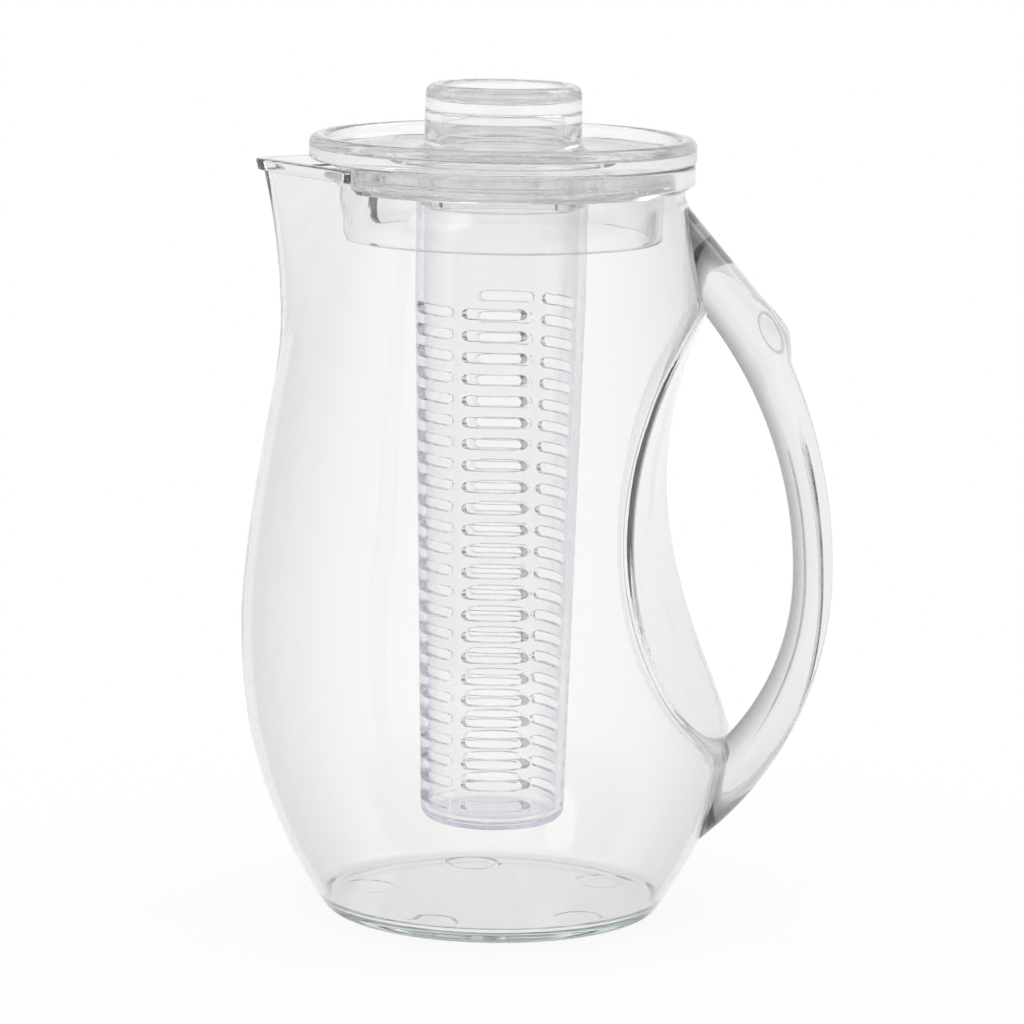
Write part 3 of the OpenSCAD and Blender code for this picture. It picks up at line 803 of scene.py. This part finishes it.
def tube_r(z, inner=False):
    share = np.clip((np.asarray(z, float) - TUBE_Z - TUBE_ROUND) / (TAPER_Z - TUBE_Z - TUBE_ROUND), 0, 1)
    return TUBE_LOW_R + (TUBE_TOP_R - TUBE_LOW_R) * share - (TUBE_WALL if inner else 0)


def make_tube():
    skin = Skin()
    cell_w = 19.2
    nx, nz = 12, 8
    side_n = 11
    z_low = SLOT_Z - SLOT_PITCH / 2
    z_high = SLOT_Z + SLOT_PITCH * (SLOT_ROWS - 0.5)
    turn = np.radians(SLOT_TURN)

    def turned(along, lateral, z):
        """Points at distances along and beside the plane along which the slots run."""
        x = along * math.cos(turn) - lateral * math.sin(turn)
        y = along * math.sin(turn) + lateral * math.cos(turn)
        return np.stack([x, y, np.broadcast_to(z, x.shape)], -1)

    def on_tube(lateral, z, front, inner):
        """Points of the tube's wall at a distance beside that plane."""
        r = tube_r(z, inner)
        return turned(np.sqrt(np.clip(r * r - np.asarray(lateral) ** 2, 0, None)) * front, lateral, z)

    def side_points(z, side, inner):
        """Points across the plain side of the tube, between the slots' two faces."""
        r = float(tube_r(z, inner))
        edge = math.asin(cell_w / r)
        a = np.linspace(edge, math.pi - edge, side_n + 1)
        return turned(r * np.cos(a), side * r * np.sin(a), z)

    known = {}

    def vertex(point):
        key = tuple(np.round(point, 4))
        if key not in known:
            known[key] = skin.ring([point])[0]
        return known[key]

    def row(points):
        return [vertex(p) for p in points]

    def quad(a, b, c, d, flip):
        corners = []
        for i in (a, b, c, d):
            if i not in corners:
                corners.append(i)
        if len(corners) > 2:
            skin.faces.append(tuple(corners[::-1] if flip else corners))

    # Outlines of one cell and of its slot, as lateral place and height from the cell's middle
    half_h = SLOT_PITCH / 2
    slot_mid = (SLOT_W + SLOT_GAP) / 2
    r_end = SLOT_H / 2
    straight = SLOT_W / 2 - r_end

    def cell_outline():
        xs = np.linspace(0, cell_w, nx + 1)
        zs = np.linspace(-half_h, half_h, nz + 1)
        low = [(x, -half_h) for x in xs[:-1]]
        right = [(cell_w, z) for z in zs[:-1]]
        high = [(x, half_h) for x in xs[:0:-1]]
        left = [(0.0, z) for z in zs[:0:-1]]
        return np.array(low + right + high + left)

    def slot_outline(grow):
        r = r_end + grow
        xs = np.linspace(-straight, straight, nx + 1)
        low = [(slot_mid + x, -r) for x in xs[:-1]]
        turn_r = [(slot_mid + straight + r * math.sin(a), -r * math.cos(a))
                  for a in np.linspace(0, math.pi, nz + 1)[:-1]]
        high = [(slot_mid + x, r) for x in xs[:0:-1]]
        turn_l = [(slot_mid - straight - r * math.sin(a), r * math.cos(a))
                  for a in np.linspace(0, math.pi, nz + 1)[:-1]]
        return np.array(low + turn_r + high + turn_l)

    edge = 0.6
    cell = cell_outline()
    loops = [cell, cell * 0.35 + slot_outline(edge) * 0.65, slot_outline(edge), slot_outline(edge * 0.3)]
    hole = slot_outline(0.0)
    n = len(cell)

    def join(rings, flip):
        """Faces between neighbouring rings round one slot."""
        for a, b in zip(rings, rings[1:]):
            for i in range(n):
                j = (i + 1) % n
                quad(a[i], a[j], b[j], b[i], flip)

    for front in (-1, 1):
        for side in (-1, 1):
            for k in range(SLOT_ROWS):
                zc = SLOT_Z + SLOT_PITCH * k
                rims = []
                for inner in (False, True):
                    rings = [row(on_tube(side * loop[:, 0], zc + loop[:, 1], front, inner))
                             for loop in loops]
                    flip = (front * side > 0) != inner
                    join(rings, not flip)
                    rims.append(rings[-1])
                out_pts = on_tube(side * hole[:, 0], zc + hole[:, 1], front, False)
                in_pts = on_tube(side * hole[:, 0], zc + hole[:, 1], front, True)
                step = (in_pts - out_pts)
                deep = edge / np.linalg.norm(step, axis=1, keepdims=True)
                rows = [rims[0], row(out_pts + step * deep), row((out_pts + in_pts) / 2),
                        row(in_pts - step * deep), rims[1]]
                join(rows, not (front * side > 0))

    # Plain sides between the slotted faces
    zs = np.concatenate([np.linspace(z_low, z_low + SLOT_PITCH, nz + 1)[:-1] + SLOT_PITCH * k
                         for k in range(SLOT_ROWS)] + [[z_high]])
    for inner in (False, True):
        for side in (-1, 1):
            grid = [row(side_points(z, side, inner)) for z in zs]
            for a, b in zip(grid, grid[1:]):
                for i in range(side_n):
                    quad(a[i], a[i + 1], b[i + 1], b[i], (side < 0) != inner)

    def full_ring(z, inner):
        """All points round the tube at one of the slotted part's ends."""
        xs = np.linspace(0, cell_w, nx + 1)
        points = []
        for front in (-1, 1):
            for side in (-1, 1):
                points += list(on_tube(side * xs, np.full(len(xs), z), front, inner))
        for side in (-1, 1):
            points += list(side_points(z, side, inner))
        return sorted(set(row(points)), key=lambda i: math.atan2(skin.points[i][1], skin.points[i][0]))

    # Top, with the bayonet's grooves inside
    side_turn = math.degrees(math.atan(GAP / TUBE_IN_R)) * 2
    leg = LUG_ANGLE + 2 * side_turn
    run_h = LUG_H + 2 * GAP
    starts = [LUG_START + 360 * i / LUGS - TWIST - leg / 2 for i in range(LUGS)]
    edges = [s + d + e for s in starts for d in (0, leg, TWIST + leg) for e in (-0.25, 0.25)]
    top_angles = full_circle(160, edges)

    def groove(angles, z):
        """1 where the bayonet's groove is cut into the tube's inner face."""
        cut = np.zeros(len(angles))
        for s in starts:
            away = (angles - s) % 360
            in_run = (away < TWIST + leg) & (abs(z - LUG_Z) < run_h / 2)
            in_leg = (away < leg) & (z > LUG_Z - run_h / 2)
            cut = np.maximum(cut, (in_run | in_leg).astype(float))
        return cut

    run_z = LUG_Z - run_h / 2
    levels = [z_high + 3, TAPER_Z + 6, 210]
    rings = [skin.ring(polar(tube_r(z), top_angles, z)) for z in levels + [TUBE_TOP - 0.5]]
    skin.stitch(full_ring(z_high, False), rings[0])
    lip = rounded([(TUBE_TOP_R, TUBE_TOP - 2, 0), (TUBE_TOP_R, TUBE_TOP, 0.5), (TUBE_IN_R, TUBE_TOP, 0.3),
                   (TUBE_IN_R, TUBE_TOP - 2, 0)], 4)
    for r, z in lip[1:-1]:
        deep = groove(top_angles, z) * LUG_OUT if r < TUBE_IN_R + 1 else 0
        rings.append(skin.ring(polar(np.maximum(r, (TUBE_IN_R + deep)), top_angles, z)))
    steps = [run_z + run_h + 0.1, run_z + run_h - 0.1, LUG_Z, run_z + 0.1, run_z - 0.1]
    for z in [TUBE_TOP - 2] + steps + levels[::-1]:
        r = tube_r(z, True) + groove(top_angles, z) * LUG_OUT
        rings.append(skin.ring(polar(r, top_angles, z)))
    skin.bands(rings)
    skin.stitch(rings[-1], full_ring(z_high, True))

    # Closed bottom
    low_angles = np.arange(144) * 2.5
    low_in = TUBE_LOW_R - TUBE_WALL
    in_round = TUBE_ROUND - TUBE_WALL / 2
    lower = rounded([(0, TUBE_Z, 0), (TUBE_LOW_R, TUBE_Z, TUBE_ROUND), (TUBE_LOW_R, TUBE_Z + 12, 0)], 8)[:-1]
    rings = [skin.ring(polar(r, low_angles, z)) for r, z in [(10, TUBE_Z)] + [tuple(p) for p in lower[1:]]]
    skin.fan(rings[0], (0, 0, TUBE_Z), up=False)
    skin.bands(rings)
    skin.stitch(rings[-1], full_ring(z_low, False))
    floor_z = TUBE_Z + TUBE_WALL
    upper = rounded([(low_in, TUBE_Z + 12, 0), (low_in, floor_z, in_round), (0, floor_z, 0)], 8)[1:-1]
    upper = [tuple(p) for p in upper] + [(10, floor_z)]
    rings = [skin.ring(polar(r, low_angles, z)) for r, z in upper]
    skin.stitch(full_ring(z_low, True), rings[0])
    skin.bands(rings)
    skin.fan(rings[-1], (0, 0, floor_z), up=True)
    return skin.build("slotted_tube", "infuser", "infuser_tube", sharp=50)


# Materials

def fill(node, values):
    """Sets a node's inputs by their names."""
    for name, value in values.items():
        node.inputs[name].default_value = value
    return node


class Nodes:
    """Short way to build a node network of sums and ramps."""

    def __init__(self, tree):
        self.tree = tree

    def put(self, socket, value):
        if isinstance(value, (int, float)):
            socket.default_value = value
        else:
            self.tree.links.new(value, socket)

    def math(self, operation, a, b=0.0):
        node = self.tree.nodes.new("ShaderNodeMath")
        node.operation = operation
        self.put(node.inputs[0], a)
        self.put(node.inputs[1], b)
        return node.outputs[0]

    def times(self, a, b):
        return self.math("MULTIPLY", a, b)

    def ramp(self, value, low, high, out_low=0.0, out_high=1.0):
        node = self.tree.nodes.new("ShaderNodeMapRange")
        node.interpolation_type = "SMOOTHSTEP"
        self.put(node.inputs["Value"], value)
        fill(node, {"From Min": low, "From Max": high, "To Min": out_low, "To Max": out_high})
        return node.outputs["Result"]

    def blend(self, factor, a, b):
        """a where factor is 0, b where it is 1."""
        return self.math("ADD", a, self.times(factor, self.math("SUBTRACT", b, a)))


CLEARNESS = 0.988
REFRACTION = 1.49
WORN_ROUGH = 0.03


def clear_plastic(name, tint, edge, spread, absorb, density, ripple):
    """Clear glossy plastic with flow ripples and handling marks.

    tint is its colour seen straight on and edge is painted edge shade: the colour it turns seen edge-on, in
    place of the darkness that refraction gives its edges; a higher spread keeps that colour nearer to the
    edge. absorb and density tint its depth.
    """
    mat = bpy.data.materials.new(name)
    mat.use_nodes = True
    nodes, links = mat.node_tree.nodes, mat.node_tree.links
    kit = Nodes(mat.node_tree)
    shader = fill(nodes["Principled BSDF"], {"Transmission Weight": CLEARNESS, "IOR": REFRACTION})
    # Painted edge shade: the base colour goes from tint to edge as the surface turns edge-on
    facing = fill(nodes.new("ShaderNodeLayerWeight"), {"Blend": 0.5})
    power = kit.math("POWER", facing.outputs["Facing"], spread)
    shade = nodes.new("ShaderNodeMix")
    shade.data_type = "RGBA"
    fill(shade, {"A": (*tint, 1), "B": (*edge, 1)})
    links.new(power, shade.inputs["Factor"])
    links.new(shade.outputs["Result"], shader.inputs["Base Color"])
    place = nodes.new("ShaderNodeTexCoord")
    flow = fill(nodes.new("ShaderNodeTexNoise"), {"Scale": 14, "Detail": 2})
    links.new(place.outputs["Object"], flow.inputs["Vector"])
    bump = fill(nodes.new("ShaderNodeBump"), {"Strength": ripple, "Distance": 0.0006})
    links.new(flow.outputs["Fac"], bump.inputs["Height"])
    links.new(bump.outputs["Normal"], shader.inputs["Normal"])
    marks = fill(nodes.new("ShaderNodeTexNoise"), {"Scale": 160, "Detail": 6})
    links.new(place.outputs["Object"], marks.inputs["Vector"])
    ramp = fill(nodes.new("ShaderNodeMapRange"),
                {"From Min": 0.35, "From Max": 0.75, "To Min": 0.0, "To Max": WORN_ROUGH})
    links.new(marks.outputs["Fac"], ramp.inputs["Value"])
    links.new(ramp.outputs["Result"], shader.inputs["Roughness"])
    volume = fill(nodes.new("ShaderNodeVolumeAbsorption"), {"Color": (*absorb, 1), "Density": density})
    links.new(volume.outputs["Volume"], nodes["Material Output"].inputs["Volume"])
    return mat


def paint_handle_side_shade(mat):
    """Painted shade: the handle's painted edge shade is strongest on the side of the fingers and fades
    towards the outer side.
    """
    tree = mat.node_tree
    kit = Nodes(tree)
    place = tree.nodes.new("ShaderNodeTexCoord")
    split = tree.nodes.new("ShaderNodeSeparateXYZ")
    tree.links.new(place.outputs["Normal"], split.inputs[0])
    # Painted shade by side: full where the normals face the pitcher, down to a fifth where they face away
    share = kit.ramp(split.outputs["X"], -0.5, 0.6, 1.0, 0.2)
    shade = next(node for node in tree.nodes if node.bl_idname == "ShaderNodeMix")
    facing = shade.inputs["Factor"].links[0].from_socket
    tree.links.new(kit.times(facing, share), shade.inputs["Factor"])


def mark_handle(mat):
    """Fine lines in bump and painted shade: a mould seam down both flanks and an oval by the thumb pad,
    darkened as if shade lay in their grooves.
    """
    tree = mat.node_tree
    kit = Nodes(tree)
    place = tree.nodes.new("ShaderNodeTexCoord")
    split = tree.nodes.new("ShaderNodeSeparateXYZ")
    tree.links.new(place.outputs["Object"], split.inputs[0])
    x, y, z = (kit.math("DIVIDE", split.outputs[axis], MM) for axis in "XYZ")

    def distance(cx, cz, sx=1.0, sz=1.0, lean=0.0):
        """Distance from a point in the handle's plane, in units of sx across and sz along a leaning line."""
        dx, dz = kit.math("SUBTRACT", x, cx), kit.math("SUBTRACT", z, cz)
        across = kit.math("ADD", kit.times(dx, math.cos(lean) / sx), kit.times(dz, math.sin(lean) / sx))
        along = kit.math("SUBTRACT", kit.times(dx, math.sin(lean) / sz), kit.times(dz, math.cos(lean) / sz))
        return kit.math("SQRT", kit.math("ADD", kit.times(across, across), kit.times(along, along)))

    def line(distance_from, radius, width):
        away = kit.math("ABSOLUTE", kit.math("SUBTRACT", distance_from, radius))
        return kit.ramp(away, 0.0, width, 1.0, 0.0)

    from_oval = distance(OVAL_X, OVAL_Z, OVAL_SHORT, OVAL_LONG, math.radians(OVAL_LEAN))
    oval = line(from_oval, 1.0, 0.2)
    oval = kit.times(oval, kit.math("LESS_THAN", y, 0.0))
    seam_x = HANDLE_REACH - GRIP_T * (1 - SEAM_SHARE)
    arcs = []
    for inner_c, outer_c in ((INNER_TOP_C, OUTER_TOP_C), (INNER_LOW_C, OUTER_LOW_C)):
        centre = inner_c[0] * (1 - SEAM_SHARE) + outer_c[0] * SEAM_SHARE
        arcs.append(line(distance(centre, HANDLE_Z), seam_x - centre, SEAM_W))
    seam = kit.blend(kit.math("GREATER_THAN", z, HANDLE_Z), arcs[1], arcs[0])
    seam = kit.times(seam, kit.ramp(z, SEAM_LOW_Z, SEAM_LOW_Z + 22))
    seam = kit.times(seam, kit.ramp(z, SEAM_HIGH_Z - 18, SEAM_HIGH_Z, 1.0, 0.0))
    lines = kit.math("MAXIMUM", kit.times(oval, OVAL_WEIGHT), seam)

    bump = tree.nodes.new("ShaderNodeBump")
    bump.invert = True
    fill(bump, {"Strength": 1.0, "Distance": 0.0005})
    tree.links.new(lines, bump.inputs["Height"])
    shader = tree.nodes["Principled BSDF"]
    tree.links.new(shader.inputs["Normal"].links[0].from_socket, bump.inputs["Normal"])
    tree.links.new(bump.outputs["Normal"], shader.inputs["Normal"])
    # Painted shade: the lines darken the base colour as if shade lay in their grooves
    shade = next(node for node in tree.nodes if node.bl_idname == "ShaderNodeMix")
    base = shade.inputs["Factor"].links[0].from_socket
    darker = kit.times(lines, LINE_PAINTED_SHADE)
    tree.links.new(kit.math("MAXIMUM", base, darker), shade.inputs["Factor"])


def make_materials():
    """One clear plastic for each piece, each with painted edge shade. The handle also has painted shade on
    the fingers' side, and its seam and its oval in bump and painted shade.
    """
    clear = (0.99, 0.99, 0.99)
    # The third colour of each material is painted edge shade; the tube's also carries its own lilac tint
    grip = clear_plastic("clear_grip", (0.97, 0.97, 0.965), (0.0, 0.0, 0.02), 0.5,
                         (0.80, 0.81, 0.82), 12, 0.3)
    paint_handle_side_shade(grip)
    mark_handle(grip)
    return {
        "pitcher_shell": clear_plastic("clear_shell", (0.993, 0.991, 0.982), (0.57, 0.575, 0.56), 1.6,
                                       (0.70, 0.80, 0.82), 8, 0.25),
        "loop_handle": grip,
        "lid_moulding": clear_plastic("clear_lid", clear, (0.48, 0.48, 0.51), 2.2,
                                      (0.80, 0.81, 0.84), 6, 0.2),
        "knob_dish_cap": clear_plastic("clear_cap", clear, (0.52, 0.52, 0.54), 2.2,
                                       (0.80, 0.80, 0.83), 5, 0.2),
        "mouth_seal": clear_plastic("silicone_ring", clear, (0.5, 0.5, 0.5), 2.0,
                                    (0.82, 0.85, 0.86), 8, 0.1),
        "slotted_tube": clear_plastic("lilac_tube", (0.985, 0.985, 0.987), (0.16, 0.16, 0.36), 2.8,
                                      (0.68, 0.68, 0.90), 9, 0.25),
    }


# Stage, light and camera

FLOOR_R = 0.5
FLOOR_SUNK = 0.0002
WHITE_FROM = 0.09
WHITE_TO = 0.30
WINDOWS = 3.0
GAP_LIGHT = 0.25
WINDOW_LIGHT = 1.1
TOP_LIGHT = 1.25
DARK_LIGHT = 0.15
DARK_SIDE = 1.449
LIT_POINT = (0, 0, 0.12)
BOUNCES = 48
CAMERA_TURN = 7.0
CAMERA_PITCH = 9.51
CAMERA_ROLL = 0.985
CAMERA_SIDE = 4.67
CAMERA_AWAY = 1426.8
CAMERA_Z = 364.2
FOCAL = 4635
PICTURE_W = 1024
SENSOR_W = 36


def make_floor():
    """Pale round floor that turns into the white background away from the pitcher."""
    n = 96
    points = [(FLOOR_R * math.cos(2 * math.pi * i / n), FLOOR_R * math.sin(2 * math.pi * i / n), 0)
              for i in range(n)]
    mesh = bpy.data.meshes.new("floor")
    mesh.from_pydata(points, [], [tuple(range(n))])
    floor = add_object("floor", mesh)
    mat = bpy.data.materials.new("pale_floor")
    mat.use_nodes = True
    tree = mat.node_tree
    nodes, links = tree.nodes, tree.links
    kit = Nodes(tree)
    shader = fill(nodes["Principled BSDF"],
                  {"Base Color": (0.96, 0.96, 0.96, 1), "Roughness": 0.8, "Specular IOR Level": 0.0})
    place = nodes.new("ShaderNodeTexCoord")
    length = nodes.new("ShaderNodeVectorMath")
    length.operation = "LENGTH"
    links.new(place.outputs["Object"], length.inputs[0])
    path = nodes.new("ShaderNodeLightPath")
    seen = kit.math("MAXIMUM", path.outputs["Is Camera Ray"],
                    kit.math("MAXIMUM", path.outputs["Is Glossy Ray"], path.outputs["Is Transmission Ray"]))
    far = kit.ramp(length.outputs["Value"], WHITE_FROM, WHITE_TO, 0.9, 1.0)
    white = fill(nodes.new("ShaderNodeEmission"), {"Color": (1, 1, 1, 1)})
    mix = nodes.new("ShaderNodeMixShader")
    links.new(kit.times(seen, far), mix.inputs[0])
    links.new(shader.outputs["BSDF"], mix.inputs[1])
    links.new(white.outputs["Emission"], mix.inputs[2])
    # Seen from below, the floor doesn't hide the underside
    clear = nodes.new("ShaderNodeBsdfTransparent")
    side = nodes.new("ShaderNodeNewGeometry")
    under = nodes.new("ShaderNodeMixShader")
    from_below = kit.times(side.outputs["Backfacing"], path.outputs["Is Camera Ray"])
    links.new(from_below, under.inputs[0])
    links.new(mix.outputs["Shader"], under.inputs[1])
    links.new(clear.outputs["BSDF"], under.inputs[2])
    links.new(under.outputs["Shader"], nodes["Material Output"].inputs["Surface"])
    floor.data.materials.append(mat)
    floor.location.z = -FLOOR_SUNK


def make_world():
    """White studio: even near the horizon, above it soft windows with darker gaps, bright at the top."""
    world = bpy.data.worlds.new("studio")
    bpy.context.scene.world = world
    world.use_nodes = True
    tree = world.node_tree
    nodes, links = tree.nodes, tree.links
    kit = Nodes(tree)
    place = nodes.new("ShaderNodeTexCoord")
    split = nodes.new("ShaderNodeSeparateXYZ")
    links.new(place.outputs["Generated"], split.inputs[0])
    height = split.outputs["Z"]
    around = kit.math("ARCTAN2", split.outputs["Y"], split.outputs["X"])
    wave = kit.math("SINE", kit.times(around, WINDOWS))
    windows = kit.ramp(wave, -0.3, 0.3, GAP_LIGHT, WINDOW_LIGHT)
    top = kit.ramp(height, 0.78, 0.9)
    upper = kit.blend(top, windows, TOP_LIGHT)
    room = kit.blend(kit.ramp(height, 0.28, 0.5), 1.0, upper)
    # The room behind the camera is darker in reflections
    away = kit.math("ABSOLUTE", kit.math("ADD", around, DARK_SIDE))
    behind = kit.ramp(away, 0.3, 0.55, 1.0, 0.0)
    path = nodes.new("ShaderNodeLightPath")
    mirrored = kit.math("SUBTRACT", path.outputs["Is Glossy Ray"], path.outputs["Is Transmission Ray"])
    dark = kit.times(behind, kit.math("MAXIMUM", mirrored, 0.0))
    level = kit.blend(dark, room, DARK_LIGHT)
    level = kit.blend(path.outputs["Is Camera Ray"], level, 1.0)
    links.new(level, nodes["Background"].inputs["Strength"])
    nodes["Background"].inputs["Color"].default_value = (1, 1, 1, 1)


def make_lamp(name, place, size, power):
    data = bpy.data.lights.new(name, "AREA")
    data.shape = "DISK"
    data.size = size
    data.energy = power
    lamp = add_object(name, data)
    lamp.location = place
    lamp.rotation_euler = (Vector(LIT_POINT) - Vector(place)).to_track_quat("-Z", "Y").to_euler()


def make_camera():
    """Camera with a long lens that sees the pitcher from the photograph's side and height."""
    turn, pitch, roll = (math.radians(a) for a in (CAMERA_TURN, CAMERA_PITCH, CAMERA_ROLL))
    across = Vector((math.cos(turn), math.sin(turn), 0))
    ahead = Vector((-math.sin(turn), math.cos(turn), 0))
    look = ahead * math.cos(pitch) - Vector((0, 0, 1)) * math.sin(pitch)
    above = ahead * math.sin(pitch) + Vector((0, 0, 1)) * math.cos(pitch)
    right = across * math.cos(roll) + above * math.sin(roll)
    up = above * math.cos(roll) - across * math.sin(roll)
    place = across * CAMERA_SIDE * MM - ahead * CAMERA_AWAY * MM + Vector((0, 0, CAMERA_Z * MM))
    data = bpy.data.cameras.new("camera")
    data.sensor_width = SENSOR_W
    data.lens = FOCAL / PICTURE_W * SENSOR_W
    camera = add_object("camera", data)
    camera.matrix_world = Matrix((
        (right.x, up.x, -look.x, place.x), (right.y, up.y, -look.y, place.y),
        (right.z, up.z, -look.z, place.z), (0, 0, 0, 1)))
    bpy.context.scene.camera = camera


make_camera()
make_world()
make_floor()
make_lamp("key", (-0.9, -1.1, 1.7), 1.3, 5)
make_lamp("rim", (1.1, 0.9, 1.5), 1.0, 4)
pieces = [make_body(), make_handle(), make_lid(), make_cap(), make_seal(), make_tube()]
materials = make_materials()
for piece in pieces:
    piece.data.materials.append(materials[piece.name])

scene = bpy.context.scene
scene.view_settings.view_transform = "Standard"
scene.cycles.max_bounces = BOUNCES
scene.cycles.transmission_bounces = BOUNCES
scene.cycles.glossy_bounces = BOUNCES
scene.cycles.transparent_max_bounces = 32
